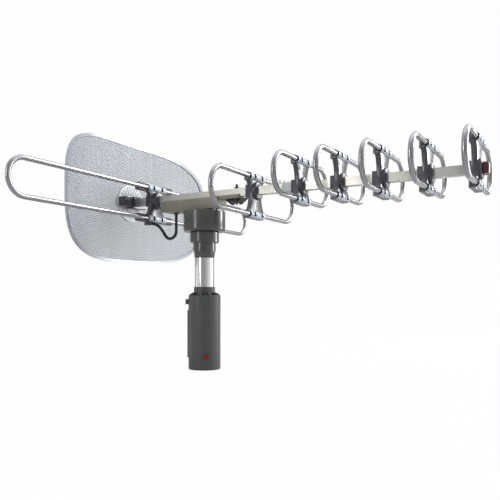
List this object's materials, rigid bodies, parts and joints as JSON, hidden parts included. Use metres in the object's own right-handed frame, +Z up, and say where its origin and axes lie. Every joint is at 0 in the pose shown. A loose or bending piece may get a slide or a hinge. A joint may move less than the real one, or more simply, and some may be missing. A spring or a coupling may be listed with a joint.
{
  "type": "outdoor television antenna",
  "caption": "Outdoor TV antenna: folded dipole and six racetrack ring directors on a square boom, bowed mesh reflector, motor rotor on a mast sleeve.",
  "frame": {"origin": "centre of the lower sleeve's open bottom end, on the mast axis", "axes": "+Z up along the mast; -Y along the boom towards the directors and the end cap, +Y towards the reflector; +X along the elements, to the right seen from behind the end cap"},
  "size_m": [0.5848, 0.5781, 0.3705],
  "materials": {
    "sleeve_plastic": "satin dark grey moulding",
    "drum_plastic": "semi-gloss dark grey-green moulding",
    "cradle_plastic": "satin olive-brown moulding",
    "bracket_plastic": "semi-gloss slate grey moulding",
    "bright_tube": "polished",
    "element_aluminium": "satin",
    "boom_aluminium": "satin",
    "mesh_paint": "satin pale grey",
    "rim_metal": "satin",
    "hub_plastic": "satin light grey",
    "cap_plastic": "semi-gloss maroon",
    "steel": "zinc plated",
    "dark_steel": "satin black",
    "red_screw": "satin red-brown",
    "cord_rubber": "matte black",
    "nylon": "natural nylon",
    "bronze": "satin",
    "board": "green board"
  },
  "bodies": {
    "base": {"mast_sleeve": "sleeve_plastic", "clamp_screw": "red_screw", "mast_collar": "sleeve_plastic", "mast_tube": "bright_tube", "mast_socket": "drum_plastic", "bearing_cup": "drum_plastic", "output_shaft": "steel", "thrust_washer": "nylon", "shaft_circlip": "dark_steel"},
    "head": {"rotor_housing": "drum_plastic", "rotor_lid": "drum_plastic", "bearing_bush": "bronze", "motor_plate": "steel", "gear_motor": "steel", "motor_screws": "steel", "lid_screws": "steel", "drum_bolts": "steel", "drum_nuts": "steel", "boom_cradle": "cradle_plastic", "cradle_cover": "cradle_plastic", "cradle_screws": "steel", "amplifier_board": "board", "cable_gland": "cord_rubber", "boom_rear_tube": "boom_aluminium", "boom_front_tube": "boom_aluminium", "boom_splice": "boom_aluminium", "boom_coupler": "hub_plastic", "boom_end_cap": "cap_plastic", "boom_bolt": "dark_steel", "wing_nut": "bracket_plastic", "dipole": "element_aluminium", "dipole_bracket": "bracket_plastic", "feed_terminal": "bracket_plastic", "feed_lead": "cord_rubber", "director_1": "element_aluminium", "director_2": "element_aluminium", "director_3": "element_aluminium", "director_4": "element_aluminium", "director_5": "element_aluminium", "director_6": "element_aluminium", "bracket_1": "bracket_plastic", "bracket_2": "bracket_plastic", "bracket_3": "bracket_plastic", "bracket_4": "bracket_plastic", "bracket_5": "bracket_plastic", "bracket_6": "bracket_plastic", "bracket_screws": "dark_steel", "reflector_mesh": "mesh_paint", "reflector_rim": "rim_metal", "reflector_hub": "hub_plastic", "reflector_backplate": "rim_metal", "reflector_clamp": "bracket_plastic", "reflector_screws": "steel"}
  },
  "joints": [
    {"name": "rotor_azimuth", "type": "hinge", "parent": "base", "child": "head", "pos_m": [0, 0, 0.2138], "axis": [0, 0, 1], "range_deg": [-180, 180]}
  ]
}
